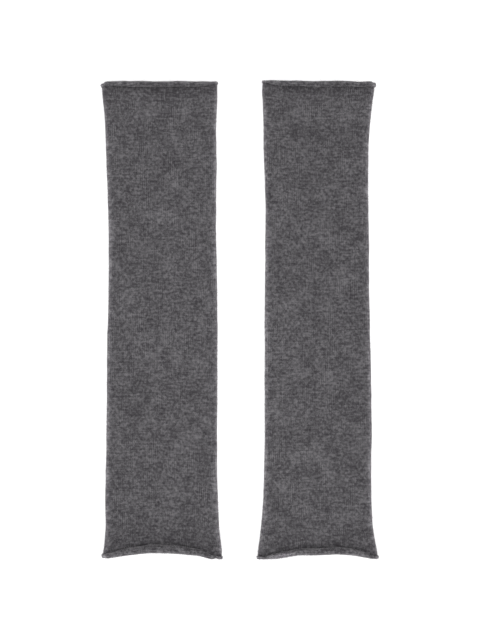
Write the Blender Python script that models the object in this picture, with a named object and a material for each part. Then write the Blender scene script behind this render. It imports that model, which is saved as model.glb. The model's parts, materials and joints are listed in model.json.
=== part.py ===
# A pair of knitted arm warmers, laid flat side by side. Metres, +Z up.
#
# Each warmer is one seamless tube of stockinette, pressed flat, so its front face lies on its
# back face and the two meet at the side folds. At both ends the cloth curls outward by itself:
# the rolled edge lies over the front face and, all round, under the back face, which it lifts.
#
# The origin is on the surface the pair lies on, under the middle of the pair. +Y runs up the
# arm warmers to their upper ends, and +X from the left warmer to the right one.

import math
from collections import namedtuple

import bmesh
import bpy

LENGTH = 0.400       # from the lowest to the highest point of the pair, along Y
WALL = 0.0012        # thickness of the knitted cloth
SEAM_GAP = 0.0003    # clearance between neighbouring solids
FOLD_RADIUS = 0.0008 # middle of the cloth, round each side fold
ROLL_GAP = 0.0004    # air between two turns of a rolled edge
REST = 0.009         # how far in from an end the cloth lies level on the roll under it
SETTLE = 0.022       # over this length the cloth comes down from the roll to the surface
ROLL_CLEAR = 0.00005 # the roll under the cloth ends this far above the surface

# Where the two side folds lie, from the upper end down.
Side = namedtuple("Side", "y left right")

# The rolled edge, from the left fold to the right fold: how far its rim stands back from the
# end of the pair, its width seen from above, its height, and how many degrees it curls round.
Roll = namedtuple("Roll", "across inset width height curl")

WARMERS = {
    "left": {
        "sides": [
            Side(0.197, -0.1144, -0.0199),
            Side(0.184, -0.1138, -0.0192),
            Side(0.167, -0.1127, -0.0196),
            Side(0.130, -0.1114, -0.0196),
            Side(0.070, -0.1095, -0.0198),
            Side(0.000, -0.1100, -0.0190),
            Side(-0.070, -0.1112, -0.0188),
            Side(-0.130, -0.1118, -0.0192),
            Side(-0.165, -0.1122, -0.0180),
            Side(-0.184, -0.1130, -0.0164),
            Side(-0.197, -0.1142, -0.0160),
        ],
        "top": [
            Roll(0.00, 0.0013, 0.0044, 0.0020, 200),
            Roll(0.08, 0.0004, 0.0050, 0.0033, 300),
            Roll(0.30, 0.0005, 0.0056, 0.0036, 315),
            Roll(0.55, 0.0008, 0.0050, 0.0033, 300),
            Roll(0.85, 0.0008, 0.0047, 0.0030, 280),
            Roll(1.00, 0.0008, 0.0044, 0.0017, 190),
        ],
        "bottom": [
            Roll(0.00, 0.0011, 0.0042, 0.0021, 200),
            Roll(0.07, 0.0010, 0.0046, 0.0030, 280),
            Roll(0.20, 0.0027, 0.0068, 0.0037, 310),
            Roll(0.50, 0.0048, 0.0080, 0.0039, 320),
            Roll(0.75, 0.0033, 0.0071, 0.0037, 310),
            Roll(0.91, 0.0006, 0.0050, 0.0028, 270),
            Roll(1.00, 0.0001, 0.0046, 0.0018, 190),
        ],
    },
    "right": {
        "sides": [
            Side(0.197, 0.0203, 0.1122),
            Side(0.184, 0.0195, 0.1112),
            Side(0.167, 0.0201, 0.1092),
            Side(0.130, 0.0207, 0.1075),
            Side(0.070, 0.0218, 0.1078),
            Side(0.000, 0.0213, 0.1087),
            Side(-0.070, 0.0212, 0.1098),
            Side(-0.130, 0.0208, 0.1100),
            Side(-0.165, 0.0190, 0.1109),
            Side(-0.184, 0.0170, 0.1128),
            Side(-0.197, 0.0162, 0.1142),
        ],
        "top": [
            Roll(0.00, 0.0001, 0.0046, 0.0017, 190),
            Roll(0.12, 0.0001, 0.0050, 0.0030, 290),
            Roll(0.45, 0.0006, 0.0055, 0.0036, 315),
            Roll(0.75, 0.0005, 0.0052, 0.0034, 300),
            Roll(0.93, 0.0010, 0.0050, 0.0032, 290),
            Roll(1.00, 0.0015, 0.0044, 0.0021, 200),
        ],
        "bottom": [
            Roll(0.00, 0.0001, 0.0044, 0.0018, 190),
            Roll(0.10, 0.0001, 0.0048, 0.0028, 270),
            Roll(0.28, 0.0017, 0.0071, 0.0036, 305),
            Roll(0.50, 0.0034, 0.0072, 0.0038, 315),
            Roll(0.72, 0.0040, 0.0073, 0.0038, 315),
            Roll(0.92, 0.0013, 0.0052, 0.0031, 285),
            Roll(1.00, 0.0008, 0.0042, 0.0021, 200),
        ],
    },
}

FOLD_STEPS = 3                                     # facets round a quarter of a side fold
FLAT_STEPS = 10                                    # facets across a face, finer near the folds
CURL_STEPS = 9                                     # facets round a rolled edge
END_ROWS = (0.0, 0.004, 0.009, 0.015, 0.022, 0.030)  # rows in from where a roll starts
MIDDLE_ROWS = (0.145, 0.095, 0.045, 0.000, -0.045, -0.095, -0.145)

FACE_COLOUR = (0.105, 0.100, 0.107)                # charcoal heather wool, knit side
REVERSE_COLOUR = (0.118, 0.113, 0.117)             # purl side, a little lighter
WOOL_ROUGHNESS = 0.95
SHARP_DEGREES = 60                                 # edges sharper than this stay crisp


def clear_scene():
    for item in list(bpy.data.objects):
        bpy.data.objects.remove(item, do_unlink=True)


def read(rows, column, at):
    """Value of a column at a place along the first column, smooth from row to row."""
    rows = sorted(rows)
    at = min(max(at, rows[0][0]), rows[-1][0])
    upper = next(i for i in range(1, len(rows)) if at <= rows[i][0])
    before, after = rows[max(upper - 2, 0)], rows[min(upper + 1, len(rows) - 1)]
    low, high = rows[upper - 1], rows[upper]
    span = high[0] - low[0]
    t = (at - low[0]) / span
    start, end = getattr(low, column), getattr(high, column)
    slope_in = (end - getattr(before, column)) / (high[0] - before[0]) * span
    slope_out = (getattr(after, column) - start) / (after[0] - low[0]) * span
    return (
        (2 * t**3 - 3 * t**2 + 1) * start
        + (t**3 - 2 * t**2 + t) * slope_in
        + (3 * t**2 - 2 * t**3) * end
        + (t**3 - t**2) * slope_out
    )


def half_cosine(t):
    """Nought to one as t goes from nought to one, level at both ends."""
    return (1 - math.cos(math.pi * t)) / 2


def half_ring():
    """Stations from the left fold over a face to the right fold: (place across, outward angle)."""
    left = [(0.0, 180 - 90 * i / FOLD_STEPS) for i in range(FOLD_STEPS)]
    flat = [(half_cosine(i / FLAT_STEPS), 90.0) for i in range(FLAT_STEPS + 1)]
    right = [(1.0, 90 - 90 * (i + 1) / FOLD_STEPS) for i in range(FOLD_STEPS)]
    return left + flat + right


def curl_radii(roll):
    """Half height and half width of the curl's first turn, measured at the middle of the cloth."""
    pitch = WALL + ROLL_GAP
    return (roll.height + pitch / 2) / 2, (roll.width + pitch - WALL) / 2


def roll_at(warmer, end, across):
    """The rolled edge's row at one place across the warmer."""
    rows = WARMERS[warmer][end]
    return Roll(across, *(read(rows, column, across) for column in Roll._fields[1:]))


def rim(end, roll):
    """Y of the rolled edge's outermost line."""
    return (LENGTH / 2 - roll.inset) * (1 if end == "top" else -1)


def roll_start(end, roll):
    """Y where the flat cloth ends and starts to curl."""
    pitch = WALL + ROLL_GAP
    inward = curl_radii(roll)[1] - pitch / 4 + WALL / 2
    return rim(end, roll) - inward * (1 if end == "top" else -1)


def lift(warmer, across, y):
    """Height of the back face's underside: nought on the surface, the roll's height at the ends."""
    height = 0.0
    for end in ("top", "bottom"):
        roll = roll_at(warmer, end, across)
        inward = abs(rim(end, roll) - y)
        down = min(max((inward - REST) / SETTLE, 0.0), 1.0)
        height += (roll.height + ROLL_CLEAR) * (1 - half_cosine(down))
    return height


def tube_point(warmer, face, across, angle, y, outward=0.0, along=0.0):
    """A point at a distance outward from the middle of the cloth, and along Y from y."""
    sides = WARMERS[warmer]["sides"]
    reach = FOLD_RADIUS + WALL / 2
    left = read(sides, "left", y) + reach
    right = read(sides, "right", y) - reach
    radius = FOLD_RADIUS + outward
    turn = math.radians(angle)
    x = left + (right - left) * across + radius * math.cos(turn)
    middle = lift(warmer, across, y) + FOLD_RADIUS + SEAM_GAP / 2 + WALL / 2
    above = SEAM_GAP / 2 + radius * math.sin(turn)
    return (x, y + along, middle + above * (1 if face == "front" else -1))


def face_rows(warmer, across):
    """Y of each row of a face, from the upper end down, clear of both rolled edges."""
    start = {end: roll_start(end, roll_at(warmer, end, across)) for end in ("top", "bottom")}
    upper = [start["top"] - SEAM_GAP / 2 - step for step in END_ROWS]
    lower = [start["bottom"] + SEAM_GAP / 2 + step for step in reversed(END_ROWS)]
    return upper + list(MIDDLE_ROWS) + lower


def face_skin(warmer, face, outward):
    """One skin of a face: columns round half the flattened tube, rows down its length."""
    return [
        [tube_point(warmer, face, across, angle, y, outward) for y in face_rows(warmer, across)]
        for across, angle in half_ring()
    ]


def curl_section(roll, offset):
    """Points round the curl as (outward, towards the end), offset from the middle of the cloth."""
    high, wide = curl_radii(roll)
    line = []
    for step in range(CURL_STEPS + 1):
        turned = roll.curl * step / CURL_STEPS
        shrink = (WALL + ROLL_GAP) * turned / 360
        angle = math.radians(turned - 90)
        up, out = math.sin(angle), math.cos(angle)
        tall, broad = high - shrink, wide - shrink
        length = math.hypot(up / tall, out / broad)
        outward = high + tall * up + offset * up / tall / length
        along = broad * out + offset * out / broad / length
        line.append((outward, along))
    return line


def roll_skin(warmer, face, end, offset):
    """One skin of a rolled edge: columns across the warmer, rows round the curl."""
    towards = 1 if end == "top" else -1
    skin = []
    for across, angle in half_ring():
        roll = roll_at(warmer, end, across)
        y = roll_start(end, roll)
        skin.append([
            tube_point(warmer, face, across, angle, y, outward, (SEAM_GAP / 2 + along) * towards)
            for outward, along in curl_section(roll, offset)
        ])
    return skin


def wool(name, colour):
    """Matt wool of one colour."""
    material = bpy.data.materials.new(name)
    material.use_nodes = True
    shader = material.node_tree.nodes["Principled BSDF"]
    shader.inputs["Base Color"].default_value = (*colour, 1.0)
    shader.inputs["Roughness"].default_value = WOOL_ROUGHNESS
    shader.inputs["Metallic"].default_value = 0.0
    return material


def add_quads(build, columns):
    """A face for each cell of a grid of vertices."""
    for left, right in zip(columns, columns[1:]):
        for i in range(len(left) - 1):
            build.faces.new((left[i], left[i + 1], right[i + 1], right[i]))


def cloth_wall(name, skins, colour):
    """A closed wall of cloth between two skins, which are grids of points of the same size."""
    build = bmesh.new()
    under, over = [[[build.verts.new(point) for point in column] for column in skin] for skin in skins]
    add_quads(build, under)
    add_quads(build, over)
    add_quads(build, [under[0], over[0]])
    add_quads(build, [under[-1], over[-1]])
    for row in (0, -1):
        add_quads(build, [[column[row] for column in under], [column[row] for column in over]])
    bmesh.ops.recalc_face_normals(build, faces=build.faces)
    mesh = bpy.data.meshes.new(name)
    build.to_mesh(mesh)
    build.free()
    mesh.shade_smooth()
    mesh.set_sharp_from_angle(angle=math.radians(SHARP_DEGREES))
    mesh.materials.append(wool(name + "_wool", colour))
    bpy.context.collection.objects.link(bpy.data.objects.new(name, mesh))


def make_warmer(warmer):
    for face in ("front", "back"):
        skins = [face_skin(warmer, face, side * WALL / 2) for side in (-1, 1)]
        cloth_wall(f"{warmer}_{face}", skins, FACE_COLOUR)
        for end in ("top", "bottom"):
            skins = [roll_skin(warmer, face, end, side * WALL / 2) for side in (-1, 1)]
            cloth_wall(f"{warmer}_{end}_roll_{face}", skins, REVERSE_COLOUR)


clear_scene()
for side in WARMERS:
    make_warmer(side)
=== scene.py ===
import json
import math

import bpy
import numpy as np
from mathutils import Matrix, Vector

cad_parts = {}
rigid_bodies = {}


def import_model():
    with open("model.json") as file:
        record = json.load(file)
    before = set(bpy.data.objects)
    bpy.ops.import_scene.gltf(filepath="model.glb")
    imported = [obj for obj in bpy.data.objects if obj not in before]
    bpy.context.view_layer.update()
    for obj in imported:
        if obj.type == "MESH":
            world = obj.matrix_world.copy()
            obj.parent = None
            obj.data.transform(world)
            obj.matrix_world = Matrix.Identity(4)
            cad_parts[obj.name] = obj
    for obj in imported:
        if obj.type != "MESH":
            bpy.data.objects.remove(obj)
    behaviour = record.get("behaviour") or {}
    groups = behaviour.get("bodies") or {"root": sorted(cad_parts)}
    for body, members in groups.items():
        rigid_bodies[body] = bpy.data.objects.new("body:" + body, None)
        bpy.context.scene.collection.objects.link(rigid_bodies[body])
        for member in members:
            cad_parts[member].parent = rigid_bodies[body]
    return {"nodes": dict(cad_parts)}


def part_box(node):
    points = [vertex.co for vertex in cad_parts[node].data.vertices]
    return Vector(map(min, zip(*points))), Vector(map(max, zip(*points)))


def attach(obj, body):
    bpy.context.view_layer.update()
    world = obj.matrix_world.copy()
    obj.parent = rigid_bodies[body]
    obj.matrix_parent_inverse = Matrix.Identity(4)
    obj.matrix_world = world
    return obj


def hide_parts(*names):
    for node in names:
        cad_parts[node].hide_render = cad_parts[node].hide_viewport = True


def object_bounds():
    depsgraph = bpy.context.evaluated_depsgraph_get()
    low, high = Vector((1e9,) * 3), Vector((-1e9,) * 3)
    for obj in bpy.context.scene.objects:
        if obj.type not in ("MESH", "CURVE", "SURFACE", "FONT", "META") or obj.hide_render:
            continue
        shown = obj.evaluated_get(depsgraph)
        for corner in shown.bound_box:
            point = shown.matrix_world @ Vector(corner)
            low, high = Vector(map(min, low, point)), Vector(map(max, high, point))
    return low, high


for leftover in list(bpy.data.objects):
    bpy.data.objects.remove(leftover, do_unlink=True)

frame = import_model()
cadLow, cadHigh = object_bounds()
mm = 0.001
print("frame loaded,", len(frame["nodes"]), "CAD nodes")


# small helpers for node trees

def addNode(tree, kind, inputs=None, **settings):
    node = tree.nodes.new(kind)
    for name, value in settings.items():
        setattr(node, name, value)
    for name, value in (inputs or {}).items():
        if isinstance(value, bpy.types.NodeSocket):
            tree.links.new(value, node.inputs[name])
        else:
            node.inputs[name].default_value = value
    return node


def calc(tree, operation, *values):
    node = addNode(tree, "ShaderNodeMath", dict(enumerate(values)), operation=operation)
    return node.outputs[0]


def blendValues(tree, factor, first, second):
    node = addNode(tree, "ShaderNodeMix", {0: factor, 2: first, 3: second})
    return node.outputs[0]


def readMark(tree, name):
    # a value stored on the mesh, in a Geometry Nodes tree
    node = addNode(tree, "GeometryNodeInputNamedAttribute", {"Name": name}, data_type="FLOAT")
    return node.outputs["Attribute"]


def newTree(name, kind, inputs, outputs):
    tree = bpy.data.node_groups.new(name, kind)
    for label, (socketType, value) in inputs.items():
        socket = tree.interface.new_socket(label, in_out="INPUT", socket_type=socketType)
        if value is not None:
            socket.default_value = value
    for label, socketType in outputs.items():
        tree.interface.new_socket(label, in_out="OUTPUT", socket_type=socketType)
    start = tree.nodes.new("NodeGroupInput")
    end = tree.nodes.new("NodeGroupOutput")
    return tree, start.outputs, end.inputs


# the cloth: two tubes of stockinette, pressed flat, with rolled ends

knit = {
    "wall": 1.2 * mm,         # thickness of the cloth
    "foldRadius": 0.8 * mm,   # middle of the cloth, round a side fold
    "layerGap": 0.3 * mm,     # air between the two faces
    "walePitch": 1.6 * mm,    # one column of stitches
    "coursePitch": 1.2 * mm,  # one row of stitches
    "sink": 0.55 * mm,        # the front drops this much between the puffier folds
    "sinkReach": 10 * mm,     # and takes this far to do it
    "sinkStart": 8 * mm,      # nearer to an end than this nothing is sunk,
    "sinkFade": 14 * mm,      # and this much further in all of it is
    "swellEdge": 9 * mm,      # a swell has its full height this far in from a side fold,
    "swellStart": 9 * mm,     # and from an end it begins here
    "swellFade": 12 * mm,
    "pull": 42 * mm,          # how far in from an end the rows follow its curved edge
    "wander": 0.15 * mm,      # how far the side folds stray from a smooth line
    "rolledCourses": 12,      # rows of stitches that are in the rolls, not in the tube
    "insideRows": 56,         # mesh rows down the inside of the tube
    "sharpAngle": 70,         # degrees between faces from which an edge looks sharp
}

rollShape = {
    "gap": 0.4 * mm,          # air between two turns
    "clear": 0.05 * mm,       # the roll under the cloth ends this far above the floor
    "rest": 9 * mm,           # how far in the cloth lies level on the roll under it
    "settle": 22 * mm,        # over this length it comes down to the floor
    "uneven": 0.05,           # share by which width and height vary along the roll
    "squeeze": 0.55,          # a roll stands out this share of its height past the side fold
    "rows": 44,               # mesh rows round the curl, on the side that shows
    "hiddenRows": 14,         # and on the side rolled in
    "rimWander": 0.12 * mm,   # how far the rim strays from a smooth line
}

# Millimetres. outline: height on the warmer, then how far the left and right folds stand in
# from the sides of its CAD box. top and bottom, for the rolled ends, from the left fold (0) to
# the right one (1): inset of the rim from the end, width, height, degrees of curl.
# front and back, for soft swells: place across (0 to 1), height on the warmer, length, width,
# turn, rise. The last, for painted highlights on a roll, and painted shade where how much is below
# zero: place across, reach, how much.
warmers = {
    "left": {
        "outline": [
            (198, 1.0, 4.7), (191, 1.2, 4.6), (181, 2.2, 4.6), (172, 3.2, 5.0), (161, 3.7, 5.6),
            (146, 4.2, 5.5), (130, 4.8, 5.0), (112, 5.6, 5.5), (70, 6.6, 5.5), (20, 6.5, 4.6),
            (-30, 5.3, 4.4), (-85, 4.9, 4.7), (-130, 4.2, 4.7), (-158, 3.8, 3.7), (-175, 4.0, 3.0),
            (-184, 3.3, 1.9), (-190, 3.0, 0.9), (-193, 2.6, 0.6), (-197, 2.0, 0.7),
        ],
        "top": [
            (0.00, 2.9, 3.8, 1.8, 205), (0.015, 1.8, 3.9, 2.1, 225), (0.04, 1.3, 4.0, 2.5, 265),
            (0.08, 1.1, 4.1, 2.8, 310), (0.30, 1.2, 5.0, 3.5, 335), (0.55, 1.4, 4.5, 3.2, 330),
            (0.72, 1.2, 4.6, 3.3, 325), (0.85, 1.4, 4.2, 2.8, 300), (0.95, 1.2, 3.4, 2.0, 230),
            (1.00, 1.1, 3.0, 1.4, 190),
        ],
        "bottom": [
            (0.00, 1.0, 4.1, 1.9, 205), (0.03, 0.7, 4.4, 2.6, 260), (0.07, 1.3, 4.8, 3.0, 300),
            (0.20, 3.5, 6.1, 3.7, 330), (0.50, 5.3, 7.2, 3.9, 335), (0.72, 3.8, 6.5, 3.7, 330),
            (0.83, 2.6, 5.4, 3.1, 305), (0.89, 0.8, 4.6, 2.5, 265), (0.93, -0.2, 4.2, 2.1, 225),
            (0.965, 0.4, 3.3, 1.4, 185), (0.985, -0.3, 3.6, 1.6, 195), (1.00, -0.4, 3.6, 1.4, 185),
        ],
        "front": [
            (0.52, 176, 46, 13, 2, 0.6), (0.40, 160, 30, 12, -8, -0.45),
            (0.30, 103, 34, 14, 24, -0.45), (0.52, 88, 52, 13, -34, 0.6),
            (0.50, -28, 78, 16, -25, 0.65), (0.82, -62, 34, 14, 10, -0.5),
            (0.24, -78, 30, 13, -12, -0.5), (0.88, -118, 36, 12, 70, -0.45),
            (0.62, -150, 44, 12, 82, 0.25), (0.45, -140, 100, 60, 0, -0.12),
            (0.74, 128, 40, 12, 62, 0.4), (0.18, 30, 60, 12, 80, 0.4), (0.72, 36, 46, 13, -62, -0.35),
        ],
        "back": [
            (0.42, 150, 60, 16, 14, 0.7), (0.66, 62, 74, 18, -28, 0.8), (0.30, -20, 64, 15, 40, 0.6),
            (0.58, -96, 80, 18, -12, 0.8), (0.36, -158, 52, 14, 20, 0.5),
        ],
        "paintedLightSpots": {"top": [(0.15, 0.08, 0.25)], "bottom": [(0.06, 0.05, 0.3), (0.4, 0.25, -0.12)]},
    },
    "right": {
        "outline": [
            (198, 4.8, 3.3), (191, 4.4, 3.9), (181, 5.1, 5.3), (172, 5.3, 6.3), (161, 5.5, 7.4),
            (146, 5.7, 8.2), (130, 6.2, 8.6), (112, 6.9, 8.7), (70, 7.2, 8.1), (20, 6.7, 7.8),
            (-30, 6.6, 6.7), (-85, 6.6, 5.8), (-130, 6.1, 6.1), (-158, 4.9, 5.7), (-175, 3.4, 4.5),
            (-184, 2.4, 3.2), (-190, 1.4, 2.1), (-193, 1.0, 1.6), (-197, 0.7, 1.1),
        ],
        "top": [
            (0.00, 0.2, 3.0, 1.3, 185), (0.04, 0.1, 3.4, 1.8, 220), (0.12, 0.5, 4.0, 2.6, 290),
            (0.28, 0.8, 4.6, 3.3, 330), (0.45, 1.2, 4.9, 3.4, 335), (0.75, 1.0, 4.6, 3.3, 325),
            (0.82, 1.3, 4.4, 3.2, 315), (0.88, 1.8, 4.3, 3.1, 308), (0.93, 1.4, 4.3, 3.0, 300),
            (0.97, 1.2, 4.4, 2.6, 255), (0.985, 1.4, 4.3, 2.4, 235), (1.00, 2.2, 4.2, 2.3, 215),
        ],
        "bottom": [
            (0.00, -0.2, 3.4, 2.0, 190), (0.04, -0.4, 3.4, 1.7, 200), (0.085, 0.0, 3.8, 2.0, 230),
            (0.12, 0.2, 4.5, 2.6, 285), (0.20, 1.1, 5.2, 3.0, 310), (0.28, 2.6, 5.5, 3.3, 325),
            (0.50, 3.6, 5.9, 3.7, 335), (0.72, 4.0, 6.1, 3.7, 335), (0.84, 2.8, 5.2, 3.3, 320),
            (0.92, 1.1, 4.0, 2.5, 285), (0.97, 0.1, 3.4, 1.9, 235), (1.00, 0.0, 3.3, 2.1, 200),
        ],
        "front": [
            (0.54, 172, 50, 15, 3, 0.45), (0.28, 160, 30, 12, -14, -0.45),
            (0.62, 144, 36, 13, 10, -0.45), (0.54, 92, 44, 14, -18, -0.45),
            (0.26, 14, 44, 14, 30, 0.6), (0.20, -52, 40, 14, 68, 0.55),
            (0.76, -78, 40, 14, -24, -0.5), (0.80, -142, 36, 13, 34, -0.5),
            (0.46, -118, 60, 14, -30, 0.5), (0.78, 40, 56, 13, 66, 0.4),
            (0.42, 52, 50, 13, -20, -0.35), (0.22, 118, 44, 12, 76, 0.35),
            (0.55, 155, 120, 80, 0, -0.22), (0.85, -20, 30, 400, 0, -0.12),
        ],
        "back": [
            (0.56, 140, 66, 17, -16, 0.7), (0.34, 56, 70, 16, 32, 0.7), (0.64, -34, 76, 18, -24, 0.8),
            (0.40, -110, 60, 15, 12, 0.7), (0.62, -160, 44, 13, -18, 0.5),
        ],
        "paintedLightSpots": {
            "top": [(0.45, 0.10, 0.1), (0.7, 0.3, -0.12)],
            "bottom": [(0.19, 0.08, 2.3), (0.55, 0.22, 0.2), (0.86, 0.08, 0.3)],
        },
    },
}


def readTable(rows, column, at):
    # smooth from row to row, held level past the ends
    table = np.array(sorted(rows), float)
    place, value = table[:, 0], table[:, column]
    slope = np.gradient(value, place)
    at = np.clip(at, place[0], place[-1])
    upper = np.clip(np.searchsorted(place, at), 1, len(place) - 1)
    lower = upper - 1
    span = place[upper] - place[lower]
    t = (at - place[lower]) / span
    return (
        (2 * t**3 - 3 * t**2 + 1) * value[lower]
        + (t**3 - 2 * t**2 + t) * slope[lower] * span
        + (3 * t**2 - 2 * t**3) * value[upper]
        + (t**3 - t**2) * slope[upper] * span
    )


def smoothStep(t):
    t = np.clip(t, 0, 1)
    return t * t * (3 - 2 * t)


def stray(at, length, seed):
    # a smooth line that wanders between about -1 and 1, with waves of about this length
    total = 0
    for turn, (share, weight) in enumerate([(1.0, 0.5), (0.61, 0.3), (0.37, 0.25)]):
        shift = 2.399 * (seed * 7 + turn * 3 + 1)
        total = total + weight * np.sin(2 * math.pi * at / (length * share) + shift)
    return total


def warmerBox(side):
    corners = [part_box(name) for name in frame["nodes"] if name.startswith(side + "_")]
    low = np.array([corner[0] for corner in corners]).min(axis=0)
    high = np.array([corner[1] for corner in corners]).max(axis=0)
    return low, high


class Warmer:
    def __init__(self, side):
        self.side = side
        self.seed = 1 + list(warmers).index(side)
        self.tables = warmers[side]
        self.low, self.high = warmerBox(side)
        self.reach = knit["foldRadius"] + knit["wall"] / 2
        self.halfSpace = (knit["layerGap"] + knit["wall"]) / 2
        self.pitch = knit["wall"] + rollShape["gap"]
        self.ends = {"top": (cadHigh.y, 1), "bottom": (cadLow.y, -1)}

    def folds(self, y):
        outline = self.tables["outline"]
        left = self.low[0] + readTable(outline, 1, y / mm) * mm
        right = self.high[0] - readTable(outline, 2, y / mm) * mm
        left = left + knit["wander"] * stray(y, 61 * mm, self.seed)
        right = right + knit["wander"] * stray(y, 53 * mm, self.seed + 5)
        return left, right

    def ring(self, stepsPerWale):
        # stations all round the tube, with twice as many near the side folds: stitch column,
        # place across, outward angle in degrees
        left, right = self.folds(np.linspace(self.low[1], self.high[1], 40))
        flat = float(np.mean(right - left)) - 2 * self.reach
        arc = math.pi * (knit["foldRadius"] + self.halfSpace)
        around = 2 * (flat + arc)
        wales = round(around / knit["walePitch"])
        stops = np.arange(wales * stepsPerWale) / stepsPerWale
        foldCentres = np.array([0, wales / 2, wales])
        nearFold = np.abs(stops[:, None] - foldCentres).min(axis=1) < 0.75 * arc / knit["walePitch"]
        stops = np.sort(np.concatenate([stops, stops[nearFold] + 0.5 / stepsPerWale]))
        knots = np.cumsum([0, arc / 2, flat, arc, flat, arc / 2])
        s = stops / wales * around
        across = np.interp(s, knots, [0, 0, 1, 1, 0, 0])
        angle = np.interp(s, knots, [180, 90, 90, -90, -90, -180])
        return stops, wales, across, angle

    def roll(self, end, across):
        # rim, width, height and curl of the rolled edge, each uneven in waves of its own
        rows = self.tables[end]
        inset, width, height = (readTable(rows, column, across) * mm for column in (1, 2, 3))
        curl = readTable(rows, 4, across)
        seed = self.seed * 3 + (end == "top")
        calm = smoothStep(np.minimum(across, 1 - across) / 0.12)
        width = width * (1 + rollShape["uneven"] * calm * stray(across, 0.23, seed))
        height = height * (1 + rollShape["uneven"] * calm * stray(across, 0.17, seed + 2))
        edge, towards = self.ends[end]
        rim = edge - towards * (inset + rollShape["rimWander"] * calm * stray(across, 0.31, seed + 4))
        return rim, width, height, curl

    def curlRadii(self, width, height):
        # of the curl's first turn, up and along the warmer, at the middle of the cloth
        return (height + self.pitch / 2) / 2, (width + self.pitch - knit["wall"]) / 2

    def rollStart(self, end, across):
        rim, width, height, _ = self.roll(end, across)
        inward = self.curlRadii(width, height)[1] - self.pitch / 4 + knit["wall"] / 2
        return rim - self.ends[end][1] * inward

    def lift(self, across, y):
        # the cloth is raised by the roll under it, and comes down to the floor further in
        raised = 0
        for end in ("top", "bottom"):
            rim, _, height, _ = self.roll(end, across)
            inward = np.abs(rim - y)
            down = np.clip((inward - rollShape["rest"]) / rollShape["settle"], 0, 1)
            raised = raised + (height + rollShape["clear"]) * (1 + np.cos(math.pi * down)) / 2
        return raised

    def fromEnd(self, y):
        return np.minimum(cadHigh.y - y, y - cadLow.y)

    def flatX(self, across, y):
        # where a place across lies, if the cloth is flat between its side folds
        left, right = self.folds(y)
        return left + self.reach + (right - left - 2 * self.reach) * across

    def swell(self, face, across, y):
        # soft ridges and troughs, gone at the side folds and near the ends
        left, right = self.folds(y)
        x = self.flatX(across, y)
        rise = 0
        for spot, height, length, width, turn, amount in self.tables[face]:
            dx = x - (left + (right - left) * spot)
            dy = y - height * mm
            angle = math.radians(turn)
            alongIt = (dx * math.cos(angle) + dy * math.sin(angle)) / (length * mm / 2)
            acrossIt = (dy * math.cos(angle) - dx * math.sin(angle)) / (width * mm / 2)
            rise = rise + amount * mm * np.exp(-alongIt**2 - acrossIt**2)
        fromFold = np.minimum(x - left, right - x) - self.reach
        inside = smoothStep((self.fromEnd(y) - knit["swellStart"]) / knit["swellFade"])
        return rise * smoothStep(fromFold / knit["swellEdge"]) * inside

    def point(self, across, angle, y, outward, along=0.0):
        # a place in the cloth: outward from its middle, or rolled up and along past the end
        left, right = self.folds(y)
        turn = np.radians(angle)
        radius = knit["foldRadius"] + outward
        sideways = radius - (1 - rollShape["squeeze"]) * np.maximum(outward - knit["wall"] / 2, 0)
        x = self.flatX(across, y) + sideways * np.cos(turn)
        middle = self.lift(across, y) + knit["foldRadius"] + self.halfSpace
        z = middle + (knit["layerGap"] / 2 + radius) * np.sin(turn)
        fromFold = (right - left - 2 * self.reach) * np.minimum(across, 1 - across)
        inside = smoothStep((self.fromEnd(y) - knit["sinkStart"]) / knit["sinkFade"])
        sunk = knit["sink"] * smoothStep(fromFold / knit["sinkReach"]) * inside
        z = z + self.swell("back", across, y)
        z = z + np.where(np.sin(turn) > 0, self.swell("front", across, y) - sunk, 0)
        return np.stack(np.broadcast_arrays(x, y + along, z), axis=-1)

    def courseY(self, across, t):
        # rows of stitches, which bend to follow the curved ends
        starts = {end: self.rollStart(end, across) for end in ("top", "bottom")}
        base = {end: float(np.mean(starts[end])) for end in starts}
        y = base["bottom"] + (base["top"] - base["bottom"]) * t
        for end in starts:
            nearness = np.exp(-np.abs(y - base[end]) / knit["pull"])
            y = y + (starts[end] - base[end]) * nearness
        return y

    def curl(self, end, across, angle, turnedShare, offset):
        # a place in a rolled end, on a spiral that closes by one pitch a turn
        _, width, height, curl = self.roll(end, across)
        high, wide = self.curlRadii(width, height)
        turned = curl * turnedShare
        shrink = self.pitch * turned / 360
        up, out = np.sin(np.radians(turned - 90)), np.cos(np.radians(turned - 90))
        tall, broad = high - shrink, wide - shrink
        length = np.hypot(up / tall, out / broad)
        outward = high + tall * up + offset * up / tall / length
        along = broad * out + offset * out / broad / length
        y = self.rollStart(end, across)
        return self.point(across, angle, y, outward, along * self.ends[end][1])


# closed shells from two skins, with stitch places stored on them

def quadsOf(columns, rows, start, turned):
    # faces of a skin that closes on itself, and the same corners on an unwrapped grid
    column = np.arange(columns)[:, None]
    row = np.arange(rows - 1)[None, :]
    corners = [(column, row), (column + 1, row), (column + 1, row + 1), (column, row + 1)]
    if turned:
        corners.reverse()
    shape = (columns, rows - 1)
    faces = [np.broadcast_to(start + (c % columns) * rows + r, shape) for c, r in corners]
    spots = [np.broadcast_to(c * rows + r, shape) for c, r in corners]
    return np.stack(faces, -1).reshape(-1, 4), np.stack(spots, -1).reshape(-1, 4)


def rimOf(outerEdge, innerEdge, turned):
    # faces that close the wall between two edges, and the same corners on an unwrapped strip
    columns = len(outerEdge)
    column = np.arange(columns)
    corners = [outerEdge, np.roll(outerEdge, -1), np.roll(innerEdge, -1), innerEdge]
    spots = [column, column + 1, column + columns + 2, column + columns + 1]
    if turned:
        corners.reverse()
        spots.reverse()
    return np.stack(corners, -1), np.stack(spots, -1)


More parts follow.
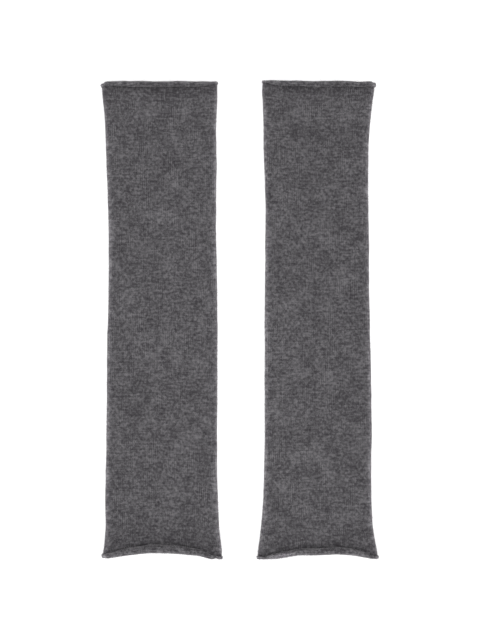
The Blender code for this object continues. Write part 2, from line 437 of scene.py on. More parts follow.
def gridIn(box, columns, rows):
    # the points of a grid that fills a box (left, bottom, right, top) of the bake map
    low, high = np.array(box[:2]), np.array(box[2:])
    share = np.meshgrid(np.linspace(0, 1, columns + 1), np.linspace(0, 1, rows), indexing="ij")
    return (low + np.stack(share, -1) * (high - low)).reshape(-1, 2)


def wrapped(values):
    # a ring's values with the first one again at the end
    return np.concatenate([values, values[:1]])


def makeShell(name, outer, inner, turned, stitches, boxes, marks):
    # outer, inner: points (column, row, xyz). stitches: (u, v) grids with one more column.
    # turned: the rows run the other way, so faces are turned round to point out of the wall.
    columns, outerRows = outer.shape[:2]
    innerRows = inner.shape[1]
    outerPoints = np.arange(columns * outerRows).reshape(columns, outerRows)
    innerPoints = np.arange(columns * innerRows).reshape(columns, innerRows) + outerPoints.size
    faces, maps, bakes = [], [], []
    skins = zip((outerPoints, innerPoints), (turned, not turned), stitches, boxes)
    for skin, flip, stitch, box in skins:
        quads, spots = quadsOf(*skin.shape, skin[0, 0], flip)
        faces.append(quads)
        maps.append(stitch.reshape(-1, 2)[spots])
        bakes.append(gridIn(box, *skin.shape)[spots])
    for row, flip, box in zip((0, -1), (not turned, turned), boxes[2:]):
        quads, spots = rimOf(outerPoints[:, row], innerPoints[:, row], flip)
        faces.append(quads)
        maps.append(np.tile(stitches[0][:, row], (2, 1))[spots])
        bakes.append(gridIn(box, 1, columns + 1)[spots])
    points = np.concatenate([outer.reshape(-1, 3), inner.reshape(-1, 3)])
    mesh = bpy.data.meshes.new(name)
    mesh.from_pydata(points.tolist(), [], np.concatenate(faces).tolist())
    for layer, values in (("OFBake", bakes), ("stitchMap", maps)):
        uv = mesh.uv_layers.new(name=layer)
        uv.data.foreach_set("uv", np.concatenate(values).astype(np.float32).reshape(-1))
    for label, (onOuter, onInner) in marks.items():
        values = np.concatenate([
            np.broadcast_to(onOuter, outer.shape[:2]).reshape(-1),
            np.broadcast_to(onInner, inner.shape[:2]).reshape(-1),
        ])
        mark = mesh.attributes.new(label, "FLOAT", "POINT")
        mark.data.foreach_set("value", values.astype(np.float32))
    mesh.shade_smooth()
    mesh.set_sharp_from_angle(angle=math.radians(knit["sharpAngle"]))
    piece = bpy.data.objects.new(name, mesh)
    bpy.context.scene.collection.objects.link(piece)
    return piece


def stitchGrid(stops, wales, courses):
    u = np.append(stops, stops[0] + wales)
    return np.stack(np.broadcast_arrays(u[:, None], courses), -1)


# where painted highlights and painted shade make the wool paler or darker, stored as marks that the
# materials read
woolMarks = {
    "foldReach": 0.0145,      # share of the width over which a side fold's painted highlight and thicker nap fade
    "crest": 85,              # degrees round the curl where a roll is palest, with a painted highlight
    "crestReach": 50,
    "crestHighlight": 0.5,
    "paintedLightEnd": 250,           # a painted light spot on a roll is gone at this many degrees
    "paintedLightFade": 80,
    # painted shade: how the cloth is darkened beside a roll, where the roll shades it
    "creaseReach": 10 * mm,   # the cloth is darker beside a roll, fading over this length,
    "shadeReach": 60 * mm,    # and faintly over this one
    "shade": 0.1,             # as a share of the first
    "creaseStart": 150,       # degrees where a roll's painted shade begins, darkening it towards its crease
    "creaseFade": 85,
    "flatCurl": 190,          # a roll that curls no further than this has no crease
    "flatCurlFade": 90,
}

# left, bottom, right and top on the bake map of the outer skin, the inner skin and the two rims
bakeBoxes = {
    "tube": [
        (0.002, 0.002, 0.93, 0.998), (0.955, 0.002, 0.998, 0.998),
        (0.935, 0.002, 0.941, 0.998), (0.945, 0.002, 0.951, 0.998),
    ],
    "roll": [
        (0.002, 0.002, 0.998, 0.60), (0.002, 0.70, 0.998, 0.90),
        (0.002, 0.62, 0.03, 0.68), (0.04, 0.62, 0.07, 0.68),
    ],
}


def foldFuzzAndSheen(across):
    # 1 on a side fold, falling to 0 further in: where the folds get a painted highlight and thicker nap
    return np.exp(-np.minimum(across, 1 - across) / woolMarks["foldReach"])


def makeBody(warmer):
    stops, wales, across, angle = warmer.ring(2)
    a, turn = across[:, None], angle[:, None]
    courses = round((cadHigh.y - cadLow.y) / knit["coursePitch"]) - knit["rolledCourses"]
    t = np.linspace(0, 1, courses + 1)[None, :]
    even = np.linspace(0, 1, knit["insideRows"])[None, :]
    tInner = (smoothStep(even) + even) / 2
    outer = warmer.point(a, turn, warmer.courseY(a, t), knit["wall"] / 2)
    inner = warmer.point(a, turn, warmer.courseY(a, tInner), -knit["wall"] / 2)
    y = outer[..., 1]
    rolls = [warmer.roll(end, a) for end in warmer.ends]
    toRoll = np.minimum(*[np.abs(rim - y) - width for rim, width, _, _ in rolls])
    toRoll = np.maximum(toRoll, 0)
    # painted shade beside the rolls
    crease = np.exp(-toRoll / woolMarks["creaseReach"])
    crease = crease + woolMarks["shade"] * np.exp(-toRoll / woolMarks["shadeReach"])
    onFront = np.sin(np.radians(turn)) > 0
    # the swells' heights, kept for the painted light and shade on them
    swell = np.where(onFront, warmer.swell("front", a, y), -warmer.swell("back", a, y))
    marks = {
        "wale": (stops[:, None], stops[:, None]),
        "course": (t * courses, tInner * courses),
        "relief": (smoothStep(np.minimum(t, 1 - t) * courses / 2), 0),
        "purl": (0, 1),
        "wear": (foldFuzzAndSheen(a), 0),
        "crease": (crease, 0),
        "swell": (swell / mm, 0),
    }
    stitches = [stitchGrid(stops, wales, rows * courses) for rows in (t, tInner)]
    return makeShell(warmer.side + "Tube", outer, inner, False, stitches, bakeBoxes["tube"], marks)


def makeRoll(warmer, end):
    stops, wales, across, angle = warmer.ring(4)
    a, turn = across[:, None], angle[:, None]
    shown = np.linspace(0, 1, rollShape["rows"])[None, :]
    hidden = np.linspace(0, 1, rollShape["hiddenRows"])[None, :]
    reverse = warmer.curl(end, a, turn, shown, knit["wall"] / 2)
    face = warmer.curl(end, a, turn, hidden, -knit["wall"] / 2)
    _, width, height, curl = warmer.roll(end, a)
    around = (width + height) * math.pi / 2 * curl / 360 / knit["coursePitch"]
    degrees = shown * curl
    # a painted highlight along the crest of the curl
    crest = np.exp(-((degrees - woolMarks["crest"]) / woolMarks["crestReach"]) ** 2)
    wear = foldFuzzAndSheen(a) + woolMarks["crestHighlight"] * crest
    # painted highlights on the side of the roll that shows, and painted shade where the amount is below
    # zero
    for spot, reach, amount in warmer.tables["paintedLightSpots"][end]:
        outside = smoothStep((woolMarks["paintedLightEnd"] - degrees) / woolMarks["paintedLightFade"])
        wear = wear + amount * np.exp(-((a - spot) / reach) ** 2) * outside
    # painted shade towards the roll's crease, and over all of the side rolled in
    crease = smoothStep((degrees - woolMarks["creaseStart"]) / woolMarks["creaseFade"])
    crease = crease * smoothStep((curl - woolMarks["flatCurl"]) / woolMarks["flatCurlFade"])
    # the relief grows over a twelfth of the curl and fades over its last eighth
    relieved = np.minimum(shown * 12, (1 - shown) * 8)
    marks = {
        "wale": (stops[:, None], stops[:, None]),
        "course": (around * shown, around * hidden),
        "relief": (smoothStep(relieved), 0),
        "purl": (1, 0),
        "wear": (wear, 0),
        "crease": (crease, 1),
        "swell": (0, 0),
    }
    stitches = [stitchGrid(stops, wales, wrapped(around) * rows) for rows in (shown, hidden)]
    name = warmer.side + ("UpperRoll" if end == "top" else "LowerRoll")
    return makeShell(name, reverse, face, end == "top", stitches, bakeBoxes["roll"], marks)


# stitch relief, as geometry: ribs down the knit side, ridges across the purl side

relief = {
    "Rib Height": 0.09 * mm,
    "Ridge Height": 0.10 * mm,
    "Ridge Arch": 0.22,       # rows that a ridge bends up over each column
    "Patch Size": 9 * mm,     # of the places where stitches stand out more
    "Patch Contrast": 3.0,
    "Patch Level": 0.9,
    "Lump Height": 0.16 * mm,
    "Lump Size": 2.4 * mm,
    "Swell Height": 0.35 * mm,
    "Swell Size": 17 * mm,
}

# least height above the floor
floorGap = {"cloth": 0.05 * mm, "fibres": 0.02 * mm}


def keptAboveFloor(tree, geometry, least):
    # wool that rests on the floor is pressed flat by it
    place = tree.nodes.new("GeometryNodeInputPosition").outputs[0]
    parts = addNode(tree, "ShaderNodeSeparateXYZ", {0: place}).outputs
    level = calc(tree, "MAXIMUM", parts[2], least)
    onFloor = addNode(tree, "ShaderNodeCombineXYZ", {0: parts[0], 1: parts[1], 2: level}).outputs[0]
    inputs = {"Geometry": geometry, "Position": onFloor}
    return addNode(tree, "GeometryNodeSetPosition", inputs).outputs[0]


def reliefTree():
    inputs = {
        "Cloth": ("NodeSocketGeometry", None),
        **{label: ("NodeSocketFloat", value) for label, value in relief.items()},
        "Seed": ("NodeSocketFloat", 0.0),
        "Wool": ("NodeSocketMaterial", None),
    }
    outputs = {"Cloth": "NodeSocketGeometry"}
    tree, given, result = newTree("stitchRelief", "GeometryNodeTree", inputs, outputs)

    def noiseAt(size, detail):
        place = tree.nodes.new("GeometryNodeInputPosition").outputs[0]
        scale = calc(tree, "DIVIDE", 1.0, size)
        kind = {"Vector": place, "W": given["Seed"], "Scale": scale, "Detail": detail}
        node = addNode(tree, "ShaderNodeTexNoise", kind, noise_dimensions="4D")
        return calc(tree, "SUBTRACT", node.outputs[0], 0.5)

    wale, course = readMark(tree, "wale"), readMark(tree, "course")
    waleWave = calc(tree, "COSINE", calc(tree, "MULTIPLY", wale, 2 * math.pi))
    rib = calc(tree, "MULTIPLY", waleWave, given["Rib Height"])
    ridgePlace = calc(tree, "ADD", course, calc(tree, "MULTIPLY", waleWave, given["Ridge Arch"]))
    ridgeWave = calc(tree, "SINE", calc(tree, "MULTIPLY", ridgePlace, 2 * math.pi))
    ridge = calc(tree, "MULTIPLY", ridgeWave, given["Ridge Height"])
    stitch = blendValues(tree, readMark(tree, "purl"), rib, ridge)
    patch = noiseAt(given["Patch Size"], 1.0)
    clearness = calc(tree, "MULTIPLY_ADD", patch, given["Patch Contrast"], given["Patch Level"])
    stitch = calc(tree, "MULTIPLY", stitch, calc(tree, "MAXIMUM", clearness, 0.0))
    lump = calc(tree, "MULTIPLY", noiseAt(given["Lump Size"], 2.0), given["Lump Height"])
    swell = calc(tree, "MULTIPLY", noiseAt(given["Swell Size"], 1.0), given["Swell Height"])
    height = calc(tree, "ADD", stitch, calc(tree, "MULTIPLY_ADD", lump, 2.0, swell))
    height = calc(tree, "MULTIPLY", height, readMark(tree, "relief"))
    normal = tree.nodes.new("GeometryNodeInputNormal").outputs[0]
    push = addNode(tree, "ShaderNodeVectorMath", {0: normal, "Scale": height}, operation="SCALE")
    moving = {"Geometry": given["Cloth"], "Offset": push.outputs[0]}
    moved = addNode(tree, "GeometryNodeSetPosition", moving).outputs[0]
    rested = keptAboveFloor(tree, moved, floorGap["cloth"])
    real = addNode(tree, "GeometryNodeRealizeInstances", {"Geometry": rested}).outputs[0]
    dressing = {"Geometry": real, "Material": given["Wool"]}
    coloured = addNode(tree, "GeometryNodeSetMaterial", dressing)
    tree.links.new(coloured.outputs[0], result["Cloth"])
    return tree


def runTree(source, tree, values, name):
    # the tree's result as a plain mesh in a new object
    modifier = source.modifiers.new("build", "NODES")
    modifier.node_group = tree
    for item in tree.interface.items_tree:
        if item.in_out == "INPUT" and item.name in values:
            modifier[item.identifier] = values[item.name]
    graph = bpy.context.evaluated_depsgraph_get()
    mesh = bpy.data.meshes.new_from_object(source.evaluated_get(graph), depsgraph=graph)
    source.modifiers.remove(modifier)
    if mesh.materials[0] is None:  # the empty slot of a mesh made from curves
        mesh.materials.pop(index=0)
    mesh.name = name
    made = bpy.data.objects.new(name, mesh)
    bpy.context.scene.collection.objects.link(made)
    return made


def withRelief(piece, tree, seed, material):
    name = piece.name
    smoothMesh = piece.data
    piece.name = name + "Plain"
    made = runTree(piece, tree, {"Seed": seed, "Wool": material}, name)
    bpy.data.objects.remove(piece)
    bpy.data.meshes.remove(smoothMesh)
    return made


# the wool: a charcoal heather, drawn stitch by stitch

wool = {
    "dark": (0.0308, 0.0274, 0.0325, 1),
    "light": (0.2026, 0.1957, 0.2068, 1),
    "toneCurve": 1.6,         # above 1, dark wool takes more of the range
    "tone": -0.05,            # the whole cloth
    "rollTone": 0.09,
    "paintedSheenGain": 0.9,          # painted highlight: side folds and rims are lighter, where loose fibres catch the light
    "creaseShadeTone": -0.17,      # painted shade: the cloth is darker beside a rolled edge
    "swellShadeTone": 0.14,        # painted light and shade: lighter on a swell a millimetre high, darker in a hollow
    "sheen": 0.4,
    "sheenRoughness": 0.5,
    "bump": 0.9,
    "bumpHeight": 0.45 * mm,
    "roughness": 0.78,        # between the strands,
    "roughnessRange": 0.2,    # and this much more at the crown of one
    "specular": 0.15,
}

# tones of the purl side that differ from the knit side's
purlTones = {"Mottle Tone": 1.95, "Streak Tone": 0.95, "Strand Tone": 0.75}

# How the pattern is drawn. Scales are per metre of cloth, or per stitch where the note says so.
grain = {
    "wobble": 420.0,
    "wobbleReach": (0.5, 0.8, 0.0),     # in stitches
    "legLean": -2.1,                    # rows for each column, as the legs of a stitch lean
    "purlArch": 0.2,                    # in rows
    "strandsAcross": 3.4,               # per stitch
    "strandsAlong": 0.8,                # per stitch
    "strandsApart": 9.0,                # so that each stitch has strands of its own
    "streak": (0.2, 0.85, 1.0),         # per stitch
    "mottle": (500.0, 420.0, 500.0),
    "cloud": 75.0,
    "patch": (110.0, 55.0, 110.0),      # of places where the columns show
    "patchRange": (0.45, 0.75),         # of the noise, from none to all
    "hairs": (430.0, 760.0),
    "hairWidth": 0.022,                 # of the noise's range
    "felt": 160.0,
    "feltGain": 1.6,
    "feltLevel": 0.7,                   # height of the wool where felt covers the stitches
    "strandHeight": 0.5,                # shares of a stitch's height
    "hairHeight": 0.25,
}


def stitchGroup():
    inputs = {
        "Stitch": ("NodeSocketVector", None),
        "Place": ("NodeSocketVector", None),
        "Purl": ("NodeSocketFloat", 0.0),
        "Felt": ("NodeSocketFloat", 0.5),
        "Stitch Tone": ("NodeSocketFloat", 0.18),
        "Streak Tone": ("NodeSocketFloat", 0.75),
        "Mottle Tone": ("NodeSocketFloat", 1.55),
        "Strand Tone": ("NodeSocketFloat", 0.55),
        "Cloud Tone": ("NodeSocketFloat", 0.52),
        "Hair Tone": ("NodeSocketFloat", 0.22),
        "Valley Tone": ("NodeSocketFloat", 0.45),
        "Wale Tone": ("NodeSocketFloat", 0.22),
    }
    outputs = {"Tone": "NodeSocketFloat", "Height": "NodeSocketFloat", "Fibre": "NodeSocketFloat"}
    tree, given, result = newTree("knittedWool", "ShaderNodeTree", inputs, outputs)

    def noiseOf(vector, scale, detail, roughness=0.5):
        kind = {"Vector": vector, "Scale": scale, "Detail": detail, "Roughness": roughness}
        return addNode(tree, "ShaderNodeTexNoise", kind).outputs

    def stretched(vector, factors):
        node = addNode(tree, "ShaderNodeVectorMath", {0: vector, 1: factors}, operation="MULTIPLY")
        return node.outputs[0]

    def spread(low, high, value, *toRange):
        inputs = dict(enumerate((value, low, high, *toRange)))
        return addNode(tree, "ShaderNodeMapRange", inputs).outputs[0]

    # stitches sit a little unevenly
    wobble = noiseOf(given["Place"], grain["wobble"], 1.0)["Color"]
    wobble = addNode(tree, "ShaderNodeVectorMath", {0: wobble, 1: (0.5, 0.5, 0.5)}, operation="SUBTRACT")
    wobble = stretched(wobble.outputs[0], grain["wobbleReach"])
    stitch = addNode(tree, "ShaderNodeVectorMath", {0: given["Stitch"], 1: wobble}, operation="ADD")
    stitch = stitch.outputs[0]
    parts = addNode(tree, "ShaderNodeSeparateXYZ", {0: stitch}).outputs
    u, v = parts[0], parts[1]
    knitSide = calc(tree, "SUBTRACT", 1.0, given["Purl"])

    # knit side: a leg of yarn each side of the wale's middle, leaning up and out
    side = calc(tree, "PINGPONG", u, 0.5)
    leg = calc(tree, "MULTIPLY_ADD", side, grain["legLean"], v)
    legShare = calc(tree, "FRACT", leg)
    legWave = calc(tree, "SINE", calc(tree, "MULTIPLY", legShare, math.pi))
    legWave = calc(tree, "POWER", legWave, 0.8)
    sideWave = calc(tree, "SINE", calc(tree, "MULTIPLY", side, 2 * math.pi))
    sideWave = calc(tree, "POWER", calc(tree, "MAXIMUM", sideWave, 0.0), 0.5)
    knitHeight = calc(tree, "MULTIPLY", legWave, sideWave)

    # purl side: bumps in rows, arched over and under
    column = calc(tree, "COSINE", calc(tree, "MULTIPLY", u, 2 * math.pi))
    row = calc(tree, "MULTIPLY_ADD", column, grain["purlArch"], v)
    purlHeight = calc(tree, "SINE", calc(tree, "MULTIPLY", row, 2 * math.pi))
    purlHeight = calc(tree, "MULTIPLY_ADD", purlHeight, 0.5, 0.5)
    stitchHeight = blendValues(tree, given["Purl"], knitHeight, purlHeight)

    # each stitch differs a little, and its strands run along the yarn
    cellPlace = {0: calc(tree, "ROUND", u), 1: calc(tree, "FLOOR", leg)}
    cell = addNode(tree, "ShaderNodeCombineXYZ", cellPlace).outputs[0]
    cellTone = addNode(tree, "ShaderNodeTexWhiteNoise", {"Vector": cell}).outputs["Value"]
    knitCell = calc(tree, "MULTIPLY", cellTone, knitSide)
    acrossYarn = blendValues(tree, given["Purl"], legShare, row)
    alongYarn = blendValues(tree, given["Purl"], v, u)
    strandPlace = addNode(tree, "ShaderNodeCombineXYZ", {
        0: calc(tree, "MULTIPLY", acrossYarn, grain["strandsAcross"]),
        1: calc(tree, "MULTIPLY", alongYarn, grain["strandsAlong"]),
        2: calc(tree, "MULTIPLY", knitCell, grain["strandsApart"]),
    })
    strand = noiseOf(strandPlace.outputs[0], 1.0, 2.0)[0]

    # heather: clumps of light and dark fibres, and streaks along a row
    streak = noiseOf(stretched(stitch, grain["streak"]), 1.0, 1.0)[0]
    mottle = noiseOf(stretched(given["Place"], grain["mottle"]), 1.0, 2.0, 0.6)[0]
    cloud = noiseOf(given["Place"], grain["cloud"], 2.0)[0]

    # here and there the columns stand out from each other, with painted light on their middles and
    # painted shade between them
    patch = noiseOf(stretched(given["Place"], grain["patch"]), 1.0, 1.0)[0]
    patch = spread(*grain["patchRange"], patch)
    shownColumn = calc(tree, "MULTIPLY", calc(tree, "MULTIPLY", column, knitSide), patch)

    # fine hairs lying over the stitches, as thin winding lines
    def hairs(scale):
        line = noiseOf(given["Place"], scale, 1.0)[0]
        away = calc(tree, "ABSOLUTE", calc(tree, "SUBTRACT", line, 0.5))
        return spread(0.0, grain["hairWidth"], away, 1.0, 0.0)

    hair = calc(tree, "MAXIMUM", *[hairs(scale) for scale in grain["hairs"]])

    # felted wool hides the stitches in places
    felt = calc(tree, "MULTIPLY", noiseOf(given["Place"], grain["felt"], 2.0)[0], grain["feltGain"])
    felt = calc(tree, "MULTIPLY", felt, given["Felt"])
    felt = addNode(tree, "ShaderNodeClamp", {0: felt}).outputs[0]
    softened = blendValues(tree, felt, stitchHeight, grain["feltLevel"])
    strandRise = calc(tree, "SUBTRACT", strand, 0.5)
    height = calc(tree, "MULTIPLY_ADD", strandRise, grain["strandHeight"], softened)
    height = calc(tree, "MULTIPLY_ADD", hair, grain["hairHeight"], height)

    def centred(value, amount):
        return calc(tree, "MULTIPLY", calc(tree, "SUBTRACT", value, 0.5), amount)

    # painted shade darkens the low places between the strands, with the softened height as its layer
    layers = {"Streak Tone": streak, "Mottle Tone": mottle, "Strand Tone": strand, "Cloud Tone": cloud,
              "Valley Tone": softened}
    tone = calc(tree, "ADD", 0.5, centred(knitCell, given["Stitch Tone"]))
    for label, value in layers.items():
        tone = calc(tree, "ADD", tone, centred(value, given[label]))
    tone = calc(tree, "ADD", tone, calc(tree, "MULTIPLY", hair, given["Hair Tone"]))
    # painted light and shade across the columns, following the ribs of the relief
    tone = calc(tree, "ADD", tone, calc(tree, "MULTIPLY", shownColumn, given["Wale Tone"]))
    tree.links.new(addNode(tree, "ShaderNodeClamp", {0: tone}).outputs[0], result["Tone"])
    tree.links.new(height, result["Height"])
    tree.links.new(strand, result["Fibre"])
    return tree


def newMaterial(name):
    material = bpy.data.materials.new(name)
    material.use_nodes = True
    return material, material.node_tree, material.node_tree.nodes["Principled BSDF"].inputs


def woolMaterial(name, group, tones, lightness):
    material, tree, surface = newMaterial(name)
    mark = {
        label: addNode(tree, "ShaderNodeAttribute", attribute_name=label).outputs["Fac"]
        for label in ("purl", "wear", "crease", "swell")
    }
    stitchMap = addNode(tree, "ShaderNodeUVMap", uv_map="stitchMap").outputs[0]
    place = tree.nodes.new("ShaderNodeTexCoord").outputs["Object"]
    inputs = {"Stitch": stitchMap, "Place": place, "Purl": mark["purl"], **tones}
    cloth = addNode(tree, "ShaderNodeGroup", inputs, node_tree=group)
    # painted shade beside the rolls and in their creases
    tone = calc(tree, "MULTIPLY_ADD", mark["crease"], wool["creaseShadeTone"], cloth.outputs["Tone"])
    # painted light on the swells and painted shade in the hollows
    tone = calc(tree, "MULTIPLY_ADD", mark["swell"], wool["swellShadeTone"], tone)
    tone = calc(tree, "MAXIMUM", calc(tree, "ADD", tone, lightness), 0.0)
    tone = calc(tree, "POWER", tone, wool["toneCurve"])
    shades = {0: tone, 6: wool["dark"], 7: wool["light"]}
    colour = addNode(tree, "ShaderNodeMix", shades, data_type="RGBA").outputs[2]
    # painted highlight on the side folds and roll crests, and painted light and shade at the listed
    # spots on the rolls
    paler = calc(tree, "MULTIPLY_ADD", mark["wear"], wool["paintedSheenGain"], 1.0)
    colour = addNode(tree, "ShaderNodeVectorMath", {0: colour, "Scale": paler}, operation="SCALE")
    rough = calc(tree, "MULTIPLY_ADD", cloth.outputs["Fibre"], wool["roughnessRange"], wool["roughness"])
    bump = {"Strength": wool["bump"], "Distance": wool["bumpHeight"], "Height": cloth.outputs["Height"]}
    tree.links.new(colour.outputs[0], surface["Base Color"])
    tree.links.new(rough, surface["Roughness"])
    tree.links.new(addNode(tree, "ShaderNodeBump", bump).outputs[0], surface["Normal"])
    surface["Sheen Weight"].default_value = wool["sheen"]
    surface["Sheen Roughness"].default_value = wool["sheenRoughness"]
    surface["Specular IOR Level"].default_value = wool["specular"]
    return material


# loose fibres standing off the wool

nap = {
    "Density": 118000.0,      # fibres on a square metre, where the cloth lies flat
    "Worn Density": 8.0,      # times more on a side fold
    "Purl Density": 1.5,      # and on the purl side
    "Lowest Facing": -0.15,   # none where the wool faces down more than this
    "Length": 2.1 * mm,
    "Shortest": 0.35,         # share of the length
    "Longest": 1.35,
    "Thickness": 0.032 * mm,
    "Taper": 0.75,
    "Lean": 1.15,             # radians away from straight up, at most
    "Least Lean": 0.1,        # share of that
}

fibreBend = {"Start": (0, 0, -0.12), "Middle": (0.05, 0.12, 0.55), "End": (0.62, 0.1, 0.72)}
fibreSteps = 3  # lengths that a fibre is bent in
fibreSides = 3

looseWool = {
    "dark": (0.07, 0.067, 0.072, 1),
    "light": (0.24, 0.23, 0.245, 1),
    "speckScale": 900.0,
    "speckRange": (0.35, 0.65),
    "roughness": 0.9,
    "sheen": 0.2,
}


def napMaterial():
    material, tree, surface = newMaterial("looseWool")
    place = tree.nodes.new("ShaderNodeTexCoord").outputs["Object"]
    specks = {"Vector": place, "Scale": looseWool["speckScale"], "Detail": 1.0}
    speck = addNode(tree, "ShaderNodeTexNoise", specks).outputs[0]
    darkest, lightest = looseWool["speckRange"]
    tone = addNode(tree, "ShaderNodeMapRange", {0: speck, 1: darkest, 2: lightest}).outputs[0]
    shades = {0: tone, 6: looseWool["dark"], 7: looseWool["light"]}
    colour = addNode(tree, "ShaderNodeMix", shades, data_type="RGBA").outputs[2]
    tree.links.new(colour, surface["Base Color"])
    surface["Roughness"].default_value = looseWool["roughness"]
    surface["Sheen Weight"].default_value = looseWool["sheen"]
    surface["Specular IOR Level"].default_value = wool["specular"]
    return material


def napTree(material):
    inputs = {
        "Cloth": ("NodeSocketGeometry", None),
        "Upper Roll": ("NodeSocketObject", None),
        "Lower Roll": ("NodeSocketObject", None),
        **{label: ("NodeSocketFloat", value) for label, value in nap.items()},
        "Seed": ("NodeSocketInt", 1),
    }
    outputs = {"Fibres": "NodeSocketGeometry"}
    tree, given, result = newTree("napFibres", "GeometryNodeTree", inputs, outputs)
    joined = tree.nodes.new("GeometryNodeJoinGeometry")
    tree.links.new(given["Cloth"], joined.inputs[0])
    for label in ("Upper Roll", "Lower Roll"):
        roll = addNode(tree, "GeometryNodeObjectInfo", {"Object": given[label]})
        tree.links.new(roll.outputs["Geometry"], joined.inputs[0])

    # thicker on the side folds and the rolled edges, none inside or underneath
    plenty = calc(tree, "MULTIPLY_ADD", readMark(tree, "wear"), given["Worn Density"], 1.0)
    plenty = calc(tree, "MULTIPLY_ADD", readMark(tree, "purl"), given["Purl Density"], plenty)
    normal = tree.nodes.new("GeometryNodeInputNormal").outputs[0]
    upness = addNode(tree, "ShaderNodeSeparateXYZ", {0: normal}).outputs[2]
    facing = calc(tree, "GREATER_THAN", upness, given["Lowest Facing"])
    plenty = calc(tree, "MULTIPLY", calc(tree, "MULTIPLY", plenty, facing), readMark(tree, "relief"))
    density = calc(tree, "MULTIPLY", plenty, given["Density"])
    spread = {"Mesh": joined.outputs[0], "Density": density, "Seed": given["Seed"]}
    roots = addNode(tree, "GeometryNodeDistributePointsOnFaces", spread).outputs

    # one fibre: thin, tapered and bent, and as long as 1 until it is placed
    line = addNode(tree, "GeometryNodeCurveQuadraticBezier", {"Resolution": fibreSteps, **fibreBend})
    along = tree.nodes.new("GeometryNodeSplineParameter").outputs["Factor"]
    lost = calc(tree, "MULTIPLY", along, given["Taper"])
    taper = calc(tree, "SUBTRACT", 1.0, lost)
    width = calc(tree, "DIVIDE", given["Thickness"], given["Length"])
    profile = {"Resolution": fibreSides, "Radius": width}
    ring = addNode(tree, "GeometryNodeCurvePrimitiveCircle", profile).outputs[0]
    body = {"Curve": line.outputs[0], "Profile Curve": ring, "Scale": taper, "Fill Caps": True}
    fibre = addNode(tree, "GeometryNodeCurveToMesh", body).outputs[0]

    def anyValue(low, high, offset):
        seed = calc(tree, "ADD", given["Seed"], float(offset))
        choice = {2: low, 3: high, "Seed": seed}
        return addNode(tree, "FunctionNodeRandomValue", choice, data_type="FLOAT").outputs[1]

    tilt = calc(tree, "MULTIPLY", anyValue(given["Least Lean"], 1.0, 11), given["Lean"])
    lean = addNode(tree, "ShaderNodeCombineXYZ", {0: tilt, 2: anyValue(0.0, 2 * math.pi, 12)}).outputs[0]
    turning = {0: roots["Rotation"], 1: lean}
    turned = addNode(tree, "FunctionNodeRotateRotation", turning, rotation_space="LOCAL").outputs[0]
    size = calc(tree, "MULTIPLY", anyValue(given["Shortest"], given["Longest"], 13), given["Length"])
    placed = addNode(tree, "GeometryNodeInstanceOnPoints", {
        "Points": roots["Points"], "Instance": fibre, "Rotation": turned, "Scale": size})
    real = addNode(tree, "GeometryNodeRealizeInstances", {"Geometry": placed.outputs[0]}).outputs[0]
    rested = keptAboveFloor(tree, real, floorGap["fibres"])
    coloured = addNode(tree, "GeometryNodeSetMaterial", {"Geometry": rested, "Material": material})
    tree.links.new(coloured.outputs[0], result["Fibres"])
    return tree


def layOutFibres(mesh):
    # the bake map: a cell for each fibre, with its sides next to each other and its two tips above
    # and below them. Marks left over from the cloth are dropped first.
    spare = [item.name for item in mesh.attributes if item.domain == "POINT" and not item.is_required]
    for label in spare:
        mesh.attributes.remove(mesh.attributes[label])
    corners = []
    for step in range(fibreSteps):
        for side in range(fibreSides):
            corners += [(side, step), (side + 1, step), (side + 1, step + 1), (side, step + 1)]
    for base, tip in ((0, -0.5), (fibreSteps, fibreSteps + 0.5)):
        corners += [(0, base), (fibreSides / 2, tip), (fibreSides, base)]
    inCell = (np.array(corners) + (0.5, 1.0)) / (fibreSides + 1, fibreSteps + 2)
    fibres = len(mesh.loops) // len(corners)
    columns = math.ceil(math.sqrt(fibres))
    number = np.arange(fibres)
    cells = np.stack([number % columns, number // columns], -1)
    uv = (cells[:, None] + inCell) / columns
    mesh.uv_layers.new(name="OFBake").data.foreach_set("uv", uv.reshape(-1).astype(np.float32))


# the floor, the light and the camera

stage = {
    "floorSize": 12.0,
    "floorColour": (0.9, 0.9, 0.9, 1),
    "floorRoughness": 0.9,
    "floorGlow": 0.42,
    "cameraHeight": 1.342,
    "lens": 90,
    "centre": (0.25 * mm, -0.4 * mm),
    "sky": 1.0,
    "panelPlace": (0, -2.2, 1.9),
    "panelSize": (2.4, 1.6),
    "panelPower": 18.0,
}


def makeFloor():
    bpy.ops.mesh.primitive_plane_add(size=stage["floorSize"], location=(0, 0, cadLow.z))
    floor = bpy.context.object
    floor.name = "floor"
    paper, _, surface = newMaterial("paleFloor")
    surface["Base Color"].default_value = stage["floorColour"]
    surface["Roughness"].default_value = stage["floorRoughness"]
    surface["Specular IOR Level"].default_value = 0.0
    surface["Emission Color"].default_value = (1, 1, 1, 1)
    surface["Emission Strength"].default_value = stage["floorGlow"]
    floor.data.materials.append(paper)


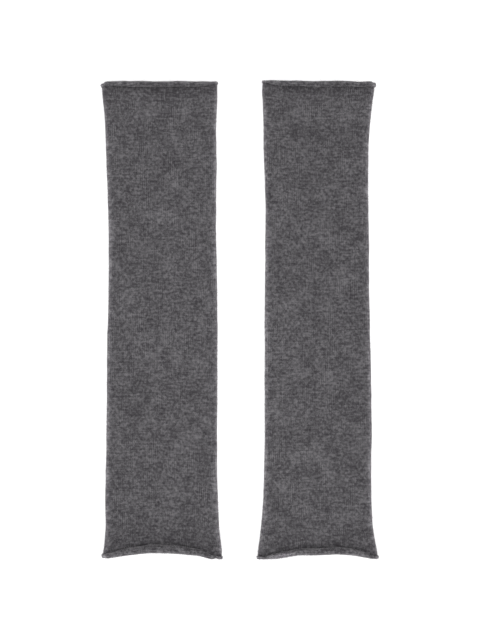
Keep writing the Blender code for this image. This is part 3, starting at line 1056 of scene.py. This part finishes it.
def makeLights():
    # an even white room and one soft panel low in front
    world = bpy.data.worlds.new("studio")
    bpy.context.scene.world = world
    world.use_nodes = True
    world.node_tree.nodes["Background"].inputs["Color"].default_value = (1, 1, 1, 1)
    world.node_tree.nodes["Background"].inputs["Strength"].default_value = stage["sky"]
    light = bpy.data.lights.new("frontPanel", "AREA")
    light.shape = "RECTANGLE"
    light.size, light.size_y = stage["panelSize"]
    light.energy = stage["panelPower"]
    panel = bpy.data.objects.new("frontPanel", light)
    panel.location = stage["panelPlace"]
    panel.rotation_euler = (-panel.location).to_track_quat("-Z", "Y").to_euler()
    bpy.context.scene.collection.objects.link(panel)


def makeCamera():
    camera = bpy.data.cameras.new("camera")
    camera.lens = stage["lens"]
    camera.clip_end = 50
    eye = bpy.data.objects.new("camera", camera)
    eye.location = (*stage["centre"], stage["cameraHeight"])
    bpy.context.scene.collection.objects.link(eye)
    bpy.context.scene.camera = eye
    bpy.context.scene.view_settings.view_transform = "Standard"


makeFloor()
makeLights()
makeCamera()
print("floor, light and camera made")

shapeTree = reliefTree()
group = stitchGroup()
faceWool = woolMaterial("charcoalKnit", group, {}, wool["tone"])
reverseWool = woolMaterial("charcoalPurl", group, purlTones, wool["tone"] + wool["rollTone"])
fibreTree = napTree(napMaterial())
print("wool and node trees made")

for side in warmers:
    warmer = Warmer(side)
    tube = withRelief(makeBody(warmer), shapeTree, warmer.seed, faceWool)
    rolls = []
    for end in warmer.ends:
        rolls.append(withRelief(makeRoll(warmer, end), shapeTree, warmer.seed, reverseWool))
    values = {"Upper Roll": rolls[0], "Lower Roll": rolls[1], "Seed": warmer.seed}
    fuzz = runTree(tube, fibreTree, values, side + "Nap")
    layOutFibres(fuzz.data)
    for piece in [tube, *rolls, fuzz]:
        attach(piece, "root")
        print(piece.name, len(piece.data.loop_triangles), "triangles")
    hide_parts(side + "_front", side + "_back")
    for roll, end in zip(rolls, warmer.ends):
        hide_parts(f"{side}_{end}_roll_front", f"{side}_{end}_roll_back")
    print(side, "warmer made")
